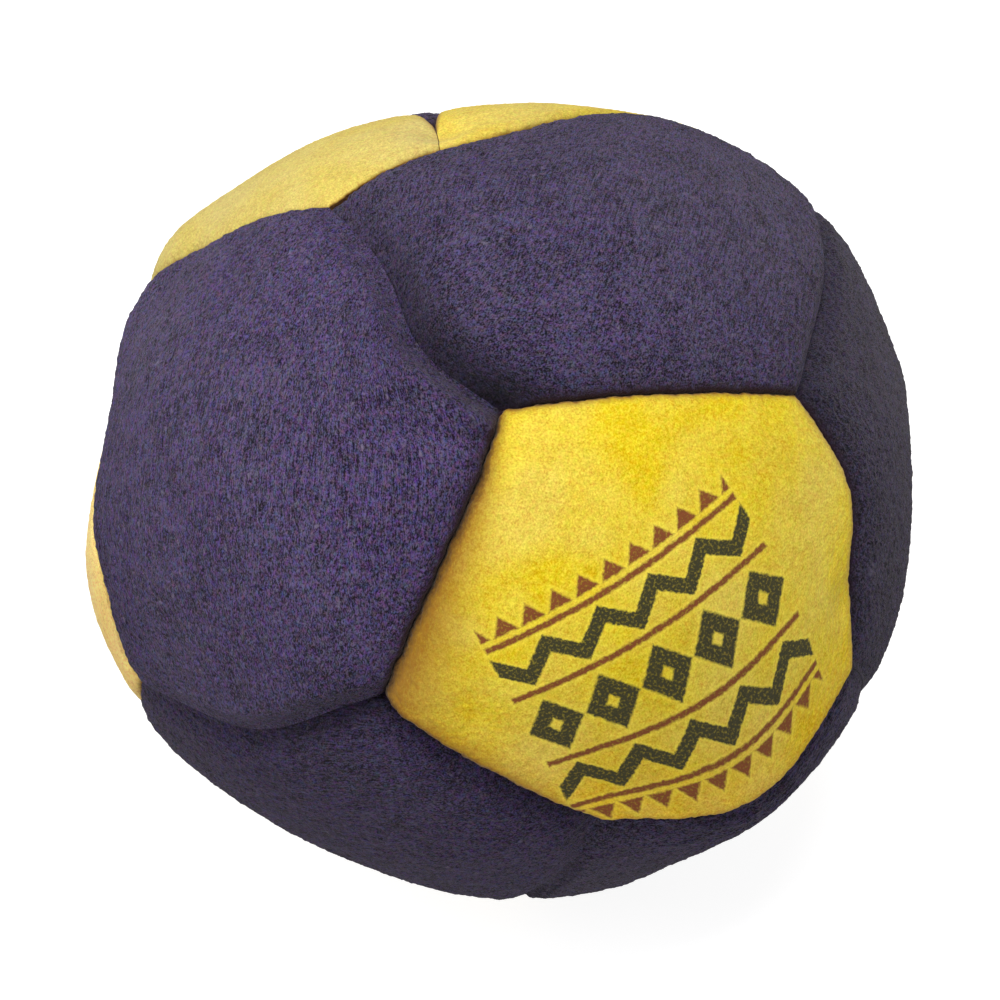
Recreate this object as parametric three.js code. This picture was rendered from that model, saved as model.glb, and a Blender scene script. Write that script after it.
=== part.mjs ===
// A footbag: twelve five-sided suede panels sewn edge to edge round a loose fill of plastic pellets.
// Lengths are millimetres and +Z is up. The origin is the centre of the flat patch that the bag rests on.

import * as THREE from "three";
import { mergeVertices } from "three/addons/utils/BufferGeometryUtils.js";

// Driving sizes of the bag and its suede
const bagRadius = 27.6;
const suedeThickness = 1;
const turnRadius = 0.7;
const seamAllowance = 3;
const seamGap = 0.36;
const restFlatDepth = 0.5;

// Driving sizes of what is inside
const threadDiameter = 0.6;
const threadClearance = 0.32;
const threadEndGap = 0.9;
const fillClearance = 0.34;

// Shares of the bag radius that shape a panel: how far its middle stands proud, and where its rings lie
const crownShare = 0.018;
const crownRingShares = [0.25, 0.48, 0.69, 0.87];
const fillRingShares = [0.45, 0.8];

// Counts of facets
const pointsPerEdge = 4;
const lipSteps = 3;
const turnSteps = 1;
const threadSides = 6;
const threadSteps = 5;

// Sizes that follow from the driving ones: a panel turns in at its edges on a lip of this outer radius
const lipRadius = suedeThickness + turnRadius;
const lipStart = seamGap / 2 + lipRadius;
const rawEdgeDepth = lipRadius + seamAllowance;
const threadDepth = rawEdgeDepth + threadClearance + threadDiameter / 2;
const fillFloorDepth = threadDepth + threadDiameter / 2 + threadClearance;

// Where three panels meet, as seen from the middle of the bag: degrees round from +X, and degrees up.
// The bag is soft and sewn by hand, so its corners lie near those of a regular twelve-sided solid.
const cornerPlaces = [
  { panels: ["front", "left", "top"], azimuth: -88, elevation: 48 },
  { panels: ["front", "top", "right"], azimuth: -32, elevation: 37 },
  { panels: ["front", "right", "lower_right"], azimuth: -35, elevation: -3 },
  { panels: ["front", "lower_right", "lower_left"], azimuth: -78, elevation: -14 },
  { panels: ["front", "lower_left", "left"], azimuth: -108, elevation: 5 },
  { panels: ["left", "top", "back_upper_left"], azimuth: -172, elevation: 64 },
  { panels: ["top", "back_upper_left", "back_upper_right"], azimuth: 154, elevation: 78 },
  { panels: ["top", "right", "back_upper_right"], azimuth: 35, elevation: 35 },
  { panels: ["right", "back_upper_right", "back_right"], azimuth: 39, elevation: -3 },
  { panels: ["right", "lower_right", "back_right"], azimuth: -4, elevation: -34 },
  { panels: ["lower_right", "base", "back_right"], azimuth: 29, elevation: -57 },
  { panels: ["lower_left", "lower_right", "base"], azimuth: -91, elevation: -58 },
  { panels: ["lower_left", "back_left", "base"], azimuth: -170, elevation: -53 },
  { panels: ["left", "lower_left", "back_left"], azimuth: -156, elevation: -15 },
  { panels: ["left", "back_left", "back_upper_left"], azimuth: 160, elevation: 18 },
  { panels: ["back_upper_left", "back_upper_right", "back"], azimuth: 115, elevation: 61 },
  { panels: ["back_upper_left", "back_left", "back"], azimuth: 134, elevation: 12 },
  { panels: ["back_upper_right", "back_right", "back"], azimuth: 76, elevation: 5 },
  { panels: ["back_left", "base", "back"], azimuth: 140, elevation: -37 },
  { panels: ["back_right", "base", "back"], azimuth: 88, elevation: -42 },
];

// Two colours of suede: six panels of each, laid so that every yellow panel has navy beside it
const navySuede = { color: 0x4c4261, roughness: 0.95, metalness: 0 };
const yellowSuede = { color: 0xe0c044, roughness: 0.9, metalness: 0 };
const fillFinish = { color: 0xd9d4c4, roughness: 0.6, metalness: 0 };
const threadFinish = { color: 0x2c2638, roughness: 0.8, metalness: 0 };
const panelSuedes = {
  front: yellowSuede,
  left: navySuede,
  top: navySuede,
  right: navySuede,
  lower_right: navySuede,
  lower_left: navySuede,
  back_upper_left: yellowSuede,
  back_upper_right: yellowSuede,
  back_left: yellowSuede,
  back_right: yellowSuede,
  base: yellowSuede,
  back: navySuede,
};

// Seams that bow into the second of their two panels: by a share of the bag radius, at a share of the way
// along the seam from its corner with the panel named in "from", and over a spread in degrees
const seamBows = [
  { between: ["top", "left"], from: "front", alongShare: 0.28, bowShare: 0.095, spread: 13 },
  { between: ["top", "right"], from: "front", alongShare: 0.5, bowShare: 0.02, spread: 13 },
  { between: ["front", "right"], from: "top", alongShare: 0.36, bowShare: 0.085, spread: 13 },
  { between: ["front", "lower_right"], from: "right", alongShare: 0.5, bowShare: 0.205, spread: 17 },
  { between: ["top", "back_upper_right"], from: "right", alongShare: 0.5, bowShare: 0.25, spread: 23 },
  { between: ["left", "lower_left"], from: "front", alongShare: 0.45, bowShare: 0.07, spread: 15 },
  { between: ["back_left", "left"], from: "lower_left", alongShare: 0.45, bowShare: 0.22, spread: 16 },
];

// Where the bag swells or is sunk: degrees round and up, a spread in degrees, and a share of its radius
const swells = [
  { azimuth: 0, elevation: -90, spread: 22, outShare: -0.044 },
  { azimuth: 27, elevation: 33, spread: 18, outShare: 0.048 },
  { azimuth: 84, elevation: 55, spread: 26, outShare: -0.038 },
  { azimuth: -171, elevation: -12, spread: 20, outShare: 0.042 },
  { azimuth: -129, elevation: -48, spread: 22, outShare: -0.03 },
  { azimuth: -45, elevation: -45, spread: 20, outShare: -0.035 },
  { azimuth: 0, elevation: 0, spread: 14, outShare: -0.024 },
  { azimuth: 18, elevation: 24, spread: 12, outShare: -0.009 },
  { azimuth: 76, elevation: 54, spread: 12, outShare: -0.04 },
  { azimuth: 157, elevation: 30, spread: 10, outShare: 0.045 },
  { azimuth: 165, elevation: 20, spread: 9, outShare: 0.027 },
  { azimuth: -170, elevation: -9, spread: 11, outShare: 0.012 },
  { azimuth: -177, elevation: 7, spread: 13, outShare: -0.018 },
  { azimuth: -159, elevation: -27, spread: 11, outShare: 0.025 },
  { azimuth: -122, elevation: -50, spread: 16, outShare: -0.021 },
];

function direction(azimuth, elevation) {
  const across = THREE.MathUtils.degToRad(azimuth);
  const up = THREE.MathUtils.degToRad(elevation);
  return new THREE.Vector3(
    Math.cos(up) * Math.cos(across),
    Math.cos(up) * Math.sin(across),
    Math.sin(up),
  );
}

for (const corner of cornerPlaces) {
  corner.at = direction(corner.azimuth, corner.elevation);
}

function cornersOf(...panels) {
  return cornerPlaces.filter((corner) => panels.every((panel) => corner.panels.includes(panel)));
}

function middleOf(panel) {
  const middle = new THREE.Vector3();
  for (const corner of cornersOf(panel)) {
    middle.add(corner.at);
  }
  return middle.normalize();
}

// How sharply a push dies away from its middle
function reachOf(spread) {
  return 1 - Math.cos(THREE.MathUtils.degToRad(spread));
}

// Every bow and swell as one push: where it is centred, its reach, and how far it moves the bag out or along
const pushes = swells.map(({ azimuth, elevation, spread, outShare }) => ({
  at: direction(azimuth, elevation),
  reach: reachOf(spread),
  outShare,
  slide: new THREE.Vector3(),
}));
for (const bow of seamBows) {
  const [start] = cornersOf(bow.from, ...bow.between);
  const end = cornersOf(...bow.between).find((corner) => corner !== start);
  const at = start.at.clone().lerp(end.at, bow.alongShare).normalize();
  const slide = middleOf(bow.between[1]).projectOnPlane(at).setLength(bow.bowShare);
  pushes.push({ at, reach: reachOf(bow.spread), outShare: 0, slide });
}

// Moves a point of the evenly round bag to where it lies once the bag has settled
function pushed(point) {
  const distance = point.length();
  const outward = point.clone().normalize();
  const moved = point.clone();
  for (const push of pushes) {
    const strength = distance * Math.exp((outward.dot(push.at) - 1) / push.reach);
    moved.addScaledVector(outward, strength * push.outShare);
    moved.addScaledVector(push.slide, strength);
  }
  return moved;
}

// The middle of the bag stands this high over the surface that it rests on
const bottomPoint = new THREE.Vector3(0, 0, -bagRadius * (1 + crownShare));
const restHeight = pushed(bottomPoint).length() - restFlatDepth;

// Settles a point that lies at a depth inside the suede's outer face, and presses it flat over the rest patch
function settle(point, depth) {
  const moved = pushed(point);
  moved.z = Math.max(moved.z, depth - restHeight);
  return moved;
}

// A panel's corners in order round it, anticlockwise as seen from outside, with its middle
function panelOutline(panel) {
  const corners = cornersOf(panel).map((corner) => corner.at);
  const middle = middleOf(panel);
  const side = new THREE.Vector3().crossVectors(middle, corners[0]).normalize();
  const ahead = new THREE.Vector3().crossVectors(side, middle);
  const turn = (corner) => Math.atan2(corner.dot(side), corner.dot(ahead));
  corners.sort((a, b) => turn(a) - turn(b));
  const inward = corners.map((corner, i) => {
    const next = corners[(i + 1) % corners.length];
    return new THREE.Vector3().crossVectors(corner, next).normalize();
  });
  return { middle, corners, inward };
}

// The point near a corner that lies at one distance from both of its seams, and at a radius from the middle
function mitredPoint(outline, i, offset, radius) {
  const count = outline.corners.length;
  const before = outline.inward[(i + count - 1) % count];
  const after = outline.inward[i % count];
  const both = before.clone().add(after).multiplyScalar(offset / (1 + before.dot(after)));
  const along = Math.sqrt(radius * radius - both.lengthSq());
  return both.addScaledVector(outline.corners[i % count], along);
}

// A ring of points round a panel, at one distance from its seams and at a depth under its outer face
function edgeRing(outline, offset, depth) {
  const radius = bagRadius - depth;
  const ring = [];
  for (let i = 0; i < outline.corners.length; i += 1) {
    const from = mitredPoint(outline, i, offset, radius);
    const to = mitredPoint(outline, i + 1, offset, radius);
    const inward = outline.inward[i];
    const planar = Math.sqrt(radius * radius - offset * offset);
    for (let k = 0; k < pointsPerEdge; k += 1) {
      const point = from.clone().lerp(to, k / pointsPerEdge).addScaledVector(inward, -offset);
      point.setLength(planar).addScaledVector(inward, offset);
      ring.push(point);
    }
  }
  return ring;
}

// A ring part of the way from the panel's middle to its lip, on its crowned face
function crownRing(outline, lip, share, depth) {
  const radius = bagRadius * (1 + crownShare * (1 - share * share)) - depth;
  return lip.map((point) => {
    const outward = point.clone().normalize();
    return outline.middle.clone().lerp(outward, share).setLength(radius);
  });
}

function settledRing(ring, depth) {
  return ring.map((point) => settle(point, depth));
}

// Joins rings that run from one middle point to another, or to an open last ring, with triangles
function loft(rings) {
  const positions = [];
  const starts = [];
  const faces = [];
  for (const ring of rings) {
    starts.push(positions.length / 3);
    for (const point of ring) {
      positions.push(point.x, point.y, point.z);
    }
  }
  for (let r = 0; r + 1 < rings.length; r += 1) {
    const count = Math.max(rings[r].length, rings[r + 1].length);
    for (let k = 0; k < count; k += 1) {
      const next = (k + 1) % count;
      const nearFirst = starts[r] + (k % rings[r].length);
      const nearNext = starts[r] + (next % rings[r].length);
      const farFirst = starts[r + 1] + (k % rings[r + 1].length);
      const farNext = starts[r + 1] + (next % rings[r + 1].length);
      if (farFirst !== farNext) {
        faces.push(nearFirst, farFirst, farNext);
      }
      if (nearFirst !== nearNext) {
        faces.push(nearFirst, farNext, nearNext);
      }
    }
  }
  const geometry = new THREE.BufferGeometry();
  geometry.setAttribute("position", new THREE.Float32BufferAttribute(positions, 3));
  geometry.setIndex(faces);
  return geometry;
}

// A panel: its crowned face, the lip that rolls into the seam, the allowance down to the raw edge,
// and back up the inside of the suede
function panelGeometry(panel) {
  const outline = panelOutline(panel);
  const lip = edgeRing(outline, lipStart, 0);
  const rings = [[settle(outline.middle.clone().setLength(bagRadius * (1 + crownShare)), 0)]];
  for (const share of crownRingShares) {
    rings.push(settledRing(crownRing(outline, lip, share, 0), 0));
  }
  for (let i = 0; i <= lipSteps; i += 1) {
    const turn = ((Math.PI / 2) * i) / lipSteps;
    const offset = lipStart - lipRadius * Math.sin(turn);
    const depth = lipRadius * (1 - Math.cos(turn));
    rings.push(settledRing(edgeRing(outline, offset, depth), 0));
  }
  rings.push(settledRing(edgeRing(outline, seamGap / 2, rawEdgeDepth), 0));
  rings.push(settledRing(edgeRing(outline, seamGap / 2 + suedeThickness, rawEdgeDepth), suedeThickness));
  for (let i = turnSteps; i >= 0; i -= 1) {
    const turn = ((Math.PI / 2) * i) / turnSteps;
    const offset = lipStart - turnRadius * Math.sin(turn);
    const depth = lipRadius - turnRadius * Math.cos(turn);
    rings.push(settledRing(edgeRing(outline, offset, depth), suedeThickness));
  }
  for (const share of [...crownRingShares].reverse()) {
    rings.push(settledRing(crownRing(outline, lip, share, suedeThickness), suedeThickness));
  }
  const inner = bagRadius * (1 + crownShare) - suedeThickness;
  rings.push([settle(outline.middle.clone().setLength(inner), suedeThickness)]);
  return loft(rings);
}

// The pellets as one body: it fills the bag up to the suede, with a channel round every seam's raw edges
function fillGeometry(panels) {
  const skin = suedeThickness + fillClearance;
  const wall = seamGap / 2 + skin;
  const positions = [];
  for (const panel of panels) {
    const outline = panelOutline(panel);
    const shoulder = edgeRing(outline, lipStart, skin);
    const rings = [[settle(outline.middle.clone().setLength(bagRadius * (1 + crownShare) - skin), skin)]];
    for (const share of fillRingShares) {
      rings.push(settledRing(crownRing(outline, shoulder, share, skin), skin));
    }
    rings.push(settledRing(shoulder, skin));
    rings.push(settledRing(edgeRing(outline, wall, lipRadius), skin));
    rings.push(settledRing(edgeRing(outline, wall, fillFloorDepth), skin));
    rings.push(settledRing(edgeRing(outline, 0, fillFloorDepth), skin));
    positions.push(...loft(rings).toNonIndexed().attributes.position.array);
  }
  const geometry = new THREE.BufferGeometry();
  geometry.setAttribute("position", new THREE.Float32BufferAttribute(positions, 3));
  return mergeVertices(geometry);
}

// The sewing thread of one seam, laid along under its two raw edges and stopped short of the corners
function threadGeometry(from, to) {
  const radius = bagRadius - threadDepth;
  const angle = from.angleTo(to);
  const endAngle = threadEndGap / radius;
  const axis = new THREE.Vector3().crossVectors(from, to).normalize();
  const points = [];
  for (let i = 0; i <= threadSteps; i += 1) {
    const turn = endAngle + ((angle - 2 * endAngle) * i) / threadSteps;
    const point = from.clone().applyAxisAngle(axis, turn).setLength(radius);
    points.push(settle(point, threadDepth));
  }
  const section = new THREE.Shape();
  for (let i = 0; i < threadSides; i += 1) {
    const turn = (2 * Math.PI * i) / threadSides;
    const across = (threadDiameter / 2) * Math.cos(turn);
    const up = (threadDiameter / 2) * Math.sin(turn);
    if (i === 0) {
      section.moveTo(across, up);
    } else {
      section.lineTo(across, up);
    }
  }
  const extrudePath = new THREE.CatmullRomCurve3(points);
  return new THREE.ExtrudeGeometry(section, { steps: threadSteps, extrudePath });
}

// Every pair of corners that share two panels has a seam between those panels
function seams() {
  const found = [];
  cornerPlaces.forEach((first, i) => {
    for (const second of cornerPlaces.slice(i + 1)) {
      const shared = first.panels.filter((panel) => second.panels.includes(panel));
      if (shared.length === 2) {
        found.push({ panels: shared, from: first.at, to: second.at });
      }
    }
  });
  return found;
}

function named(name, geometry, finish) {
  const mesh = new THREE.Mesh(geometry, new THREE.MeshStandardMaterial(finish));
  mesh.name = name;
  return mesh;
}

const footbag = new THREE.Group();
footbag.position.z = restHeight;
const panels = Object.keys(panelSuedes);
for (const panel of panels) {
  footbag.add(named(`panel_${panel}`, panelGeometry(panel), panelSuedes[panel]));
}
for (const seam of seams()) {
  const name = `thread_${seam.panels.join("_to_")}`;
  footbag.add(named(name, threadGeometry(seam.from, seam.to), threadFinish));
}
footbag.add(named("pellet_fill", fillGeometry(panels), fillFinish));

export default footbag;
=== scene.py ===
import math
import random
from functools import partial
from itertools import product
from typing import NamedTuple

import bmesh
import bpy
import numpy as np
from mathutils import Matrix, Vector, noise


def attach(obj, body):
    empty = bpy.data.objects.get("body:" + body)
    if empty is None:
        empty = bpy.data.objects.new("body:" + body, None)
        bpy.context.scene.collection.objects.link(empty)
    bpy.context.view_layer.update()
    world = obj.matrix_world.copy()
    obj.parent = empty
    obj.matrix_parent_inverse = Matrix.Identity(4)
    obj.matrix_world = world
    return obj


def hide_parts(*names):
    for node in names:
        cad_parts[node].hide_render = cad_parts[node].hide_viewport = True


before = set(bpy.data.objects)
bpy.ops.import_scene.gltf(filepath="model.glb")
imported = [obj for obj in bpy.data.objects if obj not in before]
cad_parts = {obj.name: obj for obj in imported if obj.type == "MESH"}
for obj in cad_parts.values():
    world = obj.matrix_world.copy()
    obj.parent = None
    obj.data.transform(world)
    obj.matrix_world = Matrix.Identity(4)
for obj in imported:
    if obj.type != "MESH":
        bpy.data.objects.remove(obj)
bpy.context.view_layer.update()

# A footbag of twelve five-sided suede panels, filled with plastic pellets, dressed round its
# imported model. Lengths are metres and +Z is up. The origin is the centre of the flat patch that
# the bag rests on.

bl_info = {
    "name": "Sewn Suede Footbag",
    "version": (1, 0, 0),
    "blender": (4, 5, 0),
    "location": "3D View > Sidebar > Footbag",
    "description": "Builds a twelve-panel suede footbag round its packed model",
    "category": "Object",
}

MM = 0.001

# Shares of the bag radius: how far a panel's middle stands proud, and where the rings inside it lie
CROWN_SHARE = 0.018
INNER_RING_SHARES = (0.72, 0.4)

# How deep the rest patch is pressed flat
REST_FLAT_DEPTH = 0.5 * MM

# Where three panels meet, seen from the middle of the bag: degrees round from +X, and degrees up
CORNERS = (
    (("front", "left", "top"), -88, 48),
    (("front", "top", "right"), -32, 37),
    (("front", "right", "lower_right"), -35, -3),
    (("front", "lower_right", "lower_left"), -78, -14),
    (("front", "lower_left", "left"), -108, 5),
    (("left", "top", "back_upper_left"), -172, 64),
    (("top", "back_upper_left", "back_upper_right"), 154, 78),
    (("top", "right", "back_upper_right"), 35, 35),
    (("right", "back_upper_right", "back_right"), 39, -3),
    (("right", "lower_right", "back_right"), -4, -34),
    (("lower_right", "base", "back_right"), 29, -57),
    (("lower_left", "lower_right", "base"), -91, -58),
    (("lower_left", "back_left", "base"), -170, -53),
    (("left", "lower_left", "back_left"), -156, -15),
    (("left", "back_left", "back_upper_left"), 160, 18),
    (("back_upper_left", "back_upper_right", "back"), 115, 61),
    (("back_upper_left", "back_left", "back"), 134, 12),
    (("back_upper_right", "back_right", "back"), 76, 5),
    (("back_left", "base", "back"), 140, -37),
    (("back_right", "base", "back"), 88, -42),
)


class Panel(NamedTuple):
    """A panel's suede, how its nap lies (degrees turned from straight up the bag, and how far its
    tufts are drawn out), how light it is beside the others, and how full its colour is. Its
    lightness and fullness are partly the suede's own and partly painted light and shade, set for
    how the light falls on the panel."""

    suede: str
    nap_turn: float
    stretch: float
    tone: float = 1.0
    fullness: float = 1.0


# Each panel's tone and fullness are partly the suede's own and partly painted light and shade, set
# panel by panel for how the light falls on it
PANELS = {
    "front": Panel("yellow", 20, 1.2, 0.93),
    "left": Panel("navy", -25, 1.6, 1.17, 1.04),
    "top": Panel("navy", 8, 1.2, 0.97, 0.97),
    "right": Panel("navy", -25, 1.3, 0.63, 0.85),
    "lower_right": Panel("navy", 70, 1.4, 0.74, 0.9),
    "lower_left": Panel("navy", 82, 1.5, 0.74, 1.05),
    "back_upper_left": Panel("yellow", 50, 1.2, 0.89, 0.85),
    "back_upper_right": Panel("yellow", -30, 1.2, 0.97, 0.95),
    "back_left": Panel("yellow", 15, 1.2, 1.4, 0.82),
    "back_right": Panel("yellow", 100, 1.2),
    "base": Panel("yellow", 0, 1.2),
    "back": Panel("navy", 35, 1.4),
}


class Seam(NamedTuple):
    """How two panels meet: over what width each rolls in, how deep the seam is at its two ends, how
    proud each panel stands beside it, how softly it closes, how far its stain and painted shade
    have spread at its two ends, how many times wider the rolls are at its second end, and how much
    painted shade darkens each panel in its hollow."""

    rolls: tuple = (1.8, 1.8)
    depths: tuple = (1.3, 1.3)
    rises: tuple = (0.0, 0.0)
    soft: float = 0.0
    stain_and_shade: tuple = (0.4, 0.4)
    flare: float = 1.0
    shade: tuple = (0.0, 0.0)


# Millimetres, for the first and the second panel of each pair. A seam's first end is at the corner
# that comes first in the table of corners. The other seams take the plain Seam
SEAMS = {
    ("front", "top"): Seam((0.9, 2.2), (1.1, 0.8), (-0.1, 0.2), 0, (0.45, 0.4), 1, (0, 0.3)),
    ("front", "left"): Seam((0.9, 1.5), (1.3, 1.7), (-0.1, 0.3), 0.2, (0.3, 4.2), 3.6, (0, 0.12)),
    ("front", "right"): Seam((1.4, 2.2), (0.9, 1.3), (0, 0), 0, (0.6, 0.8), 1, (0, 0.35)),
    ("front", "lower_right"):
        Seam((0.9, 2.6), (1.4, 1.4), (0.45, -0.45), 0, (0.8, 0.5), 1, (0, 0.4)),
    ("front", "lower_left"):
        Seam((0.9, 2.8), (1.4, 1.6), (0.3, -0.45), 0, (0.5, 2.2), 1, (0, 0.45)),
    ("left", "top"): Seam((1.9, 2.9), (2.1, 0.3), (0.08, -0.08), 1, shade=(0.45, 0.85)),
    ("top", "right"): Seam((1.3, 1.7), (0.9, 0.5), (0.12, -0.12), 0.6, shade=(0.32, 0.25)),
    ("left", "lower_left"): Seam((2.0, 2.4), (1.6, 0.2), (0.06, -0.06), 1, shade=(0.35, 0.45)),
    ("left", "back_upper_left"): Seam((1, 1.1), (0.25, 0.7), (0.06, -0.05), 0, (0.08, 0.16)),
    ("top", "back_upper_left"): Seam((1.2, 1), (0.25, 0.7), (0, 0), 0, (0.06, 0.14)),
    ("top", "back_upper_right"): Seam((1.4, 1), (0.7, 0.7), (-0.05, 0), 0, (0.14, 0.14)),
    ("left", "back_left"): Seam((1.3, 0.8), (0.5, 0.4), (0, 0), 0, (0.12, 0.12)),
    ("lower_left", "back_left"): Seam((1.2, 1.2), (0.5, 0.7), (0, 0), 0, (0.12, 0.12)),
    ("lower_right", "lower_left"): Seam((1.4, 1.6), (0.5, 0.7), (0, 0.05), 1, shade=(0.1, 0.1)),
    ("right", "lower_right"): Seam((1.7, 1.7), (0.35, 0.25), (0.05, -0.05), 1, shade=(0.15, 0.15)),
    ("back_upper_left", "back_upper_right"): Seam((1.3, 0.8), (-1.3, 2.4), (0, 0), 0, (-0.5, 0.9)),
}

# The least depth and the least spread of stain and painted shade at a seam, in millimetres
LEAST_DEPTH = 0.06
LEAST_STAIN_AND_SHADE = 0.01

# How far a seam's rises and its painted shade reach, and what is left of the painted shade at its
# second end
RISE_REACH = 2.6 * MM
SHADE_REACH = 2.4 * MM
SHADE_FADE = 0.25

# How sharply the hollows of two seams meet in a corner
CORNER_SHARPNESS = 3

# How far the stain and painted shade spread in navy suede at most, how sharply they end, and the
# line of painted shade in the crevice where navy and yellow touch: its width as a share of theirs,
# and the most that it is
NAVY_STAIN_AND_SHADE_WIDTH = 0.35 * MM
STAIN_AND_SHADE_SHARPNESS = 1.5
TOUCH_SHARE = 0.55
TOUCH_WIDTH = 0.8 * MM

# Painted shade: how high on the bag the yellow suede begins to be painted browner, as it looks in
# shade, and over what height, in shares of the radius, and by what share of a turn of hue. The hue
# that leaves a colour as it is
SHADE_WARM_BELOW = 0.12
SHADE_WARM_OVER = 0.35
SHADE_WARMTH = 0.02
HUE_KEPT = 0.5

# Seams that bow into the second of their two panels: the panel at the corner that the share along
# is taken from, that share, the bow as a share of the bag radius, and its spread in degrees
SEAM_BOWS = (
    (("top", "left"), "front", 0.28, 0.095, 13),
    (("top", "right"), "front", 0.5, 0.02, 13),
    (("front", "right"), "top", 0.36, 0.085, 13),
    (("front", "lower_right"), "right", 0.5, 0.205, 17),
    (("top", "back_upper_right"), "right", 0.5, 0.25, 23),
    (("left", "lower_left"), "front", 0.45, 0.07, 15),
    (("back_left", "left"), "lower_left", 0.45, 0.22, 16),
)

# Where the bag swells or is sunk: degrees round and up, a spread in degrees, and a share of its
# radius
SWELLS = (
    (0, -90, 22, -0.044),
    (27, 33, 18, 0.048),
    (84, 55, 26, -0.038),
    (-171, -12, 20, 0.042),
    (-129, -48, 22, -0.03),
    (-45, -45, 20, -0.035),
    (0, 0, 14, -0.024),
    (18, 24, 12, -0.009),
    (76, 54, 12, -0.04),
    (157, 30, 10, 0.045),
    (165, 20, 9, 0.027),
    (-170, -9, 11, 0.012),
    (-177, 7, 13, -0.018),
    (-159, -27, 11, 0.025),
    (-122, -50, 16, -0.021),
)

# Small dents and lumps that handling has left in the suede, given as the swells are
DENTS = (
    (-105, 48, 3.2, -0.012),
    (-71, -14, 2.2, -0.012),
    (-38, 9, 2.6, -0.012),
    (-60, -13, 5, 0.01),
    (131, 75.5, 4, -0.03),
    (-174, -9, 6, 0.004),
    (172, 33, 4.5, -0.012),
    (36, 40, 7, -0.012),
    (162, 25, 4, -0.011),
    (10, 14, 5, 0.008),
    (-61, -51, 6, 0.007),
    (-18, -24, 4, 0.008),
)

# Seams that have crept from their sewn line: where, over what spread in degrees, and toward which
# panel by what share of the bag radius
WANDERS = (
    (-167, -11, 7.5, "left", 0.12),
    (-161, -25, 7, "back_left", 0.07),
    (100, 83, 9, "top", 0.05),
    (42, 66, 8, "back_upper_right", 0.065),
    (-38.2, 13.2, 4.5, "front", 0.024),
    (-78, -14, 5, "front", 0.02),
    (172, 42, 6, "left", 0.015),
)

# Creases: where each starts and ends in degrees round and up, its half width and its depth
CREASES = (
    ((-118, 41), (-110, 42.5), 0.55 * MM, 0.16 * MM),
    ((-108, 43.5), (-93, 43), 0.7 * MM, 0.22 * MM),
    ((-69, -12.5), (-57, -12.8), 0.5 * MM, 0.3 * MM),
    ((-112, 46), (-104, 49), 0.8 * MM, 0.15 * MM),
)

# The panels' meshes: how far their rows crowd toward the seams, the least share and the least step
# that are divided by, and in how many rounds points are moved clear of all the seams
EDGE_CROWDING = 0.5
LEAST_SHARE = 1e-6
TINY = 1e-9
CLEAR_ROUNDS = 4

# Edges where navy meets yellow: how far in they are uneven, the grains of that with their weights,
# and by how much they slide
RAGGED_REACH = 1.0 * MM
RAGGED_GRAINS = ((1.1 * MM, 1.0), (0.45 * MM, 0.6), (0.22 * MM, 0.5))
RAGGED_SLIDE = 0.13 * MM

# The tufts in the panels' meshes, how tall and how broad their clumps are beside them, and how far
# from a seam they are at their full height
NAP_GRAIN = 0.27 * MM
CLUMP_HEIGHT = 0.7
CLUMP_TIMES = 3.2
RELIEF_FADE = 0.4 * MM

# How level a panel lies, from which its nap is turned from +Y and not from straight up
LEVEL_FROM = 0.9

# Layers of a nap in the materials: how fine each is beside the tufts, its detail and its weight.
# Their roughness, and the range of their sum from deep to pale
NAP_LAYERS = ((1.0, 3.0, 0.75), (0.3, 2.0, 0.2), (0.05, 3.0, 0.16))
NAP_ROUGHNESS = 0.65
NAP_RANGE = (-0.2, 0.2)

# Flecks of other dye: how fine they are beside the tufts, and how far their colours spread
FLECK_TIMES = 0.4
FLECK_SPREAD = (3, 3, 3)

# Streaks that brushing leaves along the nap, and the pale pills of loose fibre
STREAK_DRAW = (1, 0.1, 1)
PILL_SIZE = 0.45 * MM
PILL_RANGE = (0.64, 0.74)
PILL_COLOUR = (0.2, 0.17, 0.24, 1)

# How unevenly the stain and painted shade lie on the suede, with the size, roughness and range of
# that grain, and over what range of their mask the stain and the painted shade line deepen, with
# the most that the line darkens
STAIN_AND_SHADE_SWING = 0.2
STAIN_AND_SHADE_GRAIN = 0.22 * MM
STAIN_AND_SHADE_ROUGHNESS = 0.7
STAIN_AND_SHADE_GRAIN_RANGE = (0.25, 0.75)
STAIN_AND_SHADE_RANGE = (0.05, 0.85)
TOUCH_RANGE = (0.35, 1.0)
TOUCH_STRENGTH = 0.9


class Suede(NamedTuple):
    """What sets one suede's material apart from the other's."""

    tuft: float
    contrast: float
    fleck: float
    # How strongly the seams' stain and its painted shade show
    stain_and_shade_strength: float
    bump: float
    sheen: float
    patches: tuple
    streaks: float
    pills: float


SUEDES = {
    "navy": Suede(0.1 * MM, 2.1, 0.28, 0.9, 0.8, 0.1, (0.94, 1.04), 0.35, 0.45),
    "yellow": Suede(0.12 * MM, 1.2, 0.1, 0.85, 0.25, 0.15, (0.95, 1.04), 0.0, 0.0),
}

# How deep the bump of the suedes is, the broad patches where their colour is fuller or thinner, and
# the range of the patches' noise
BUMP_DEPTH = 0.2 * MM
PATCH_SIZE = 6 * MM
PATCH_RANGE = (0.35, 0.65)

# The printed patch on the front panel: where its middle is and how far it is turned, in degrees
PRINT_PLACE = (-68.7, 10.3)
PRINT_TURN = -22

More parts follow.
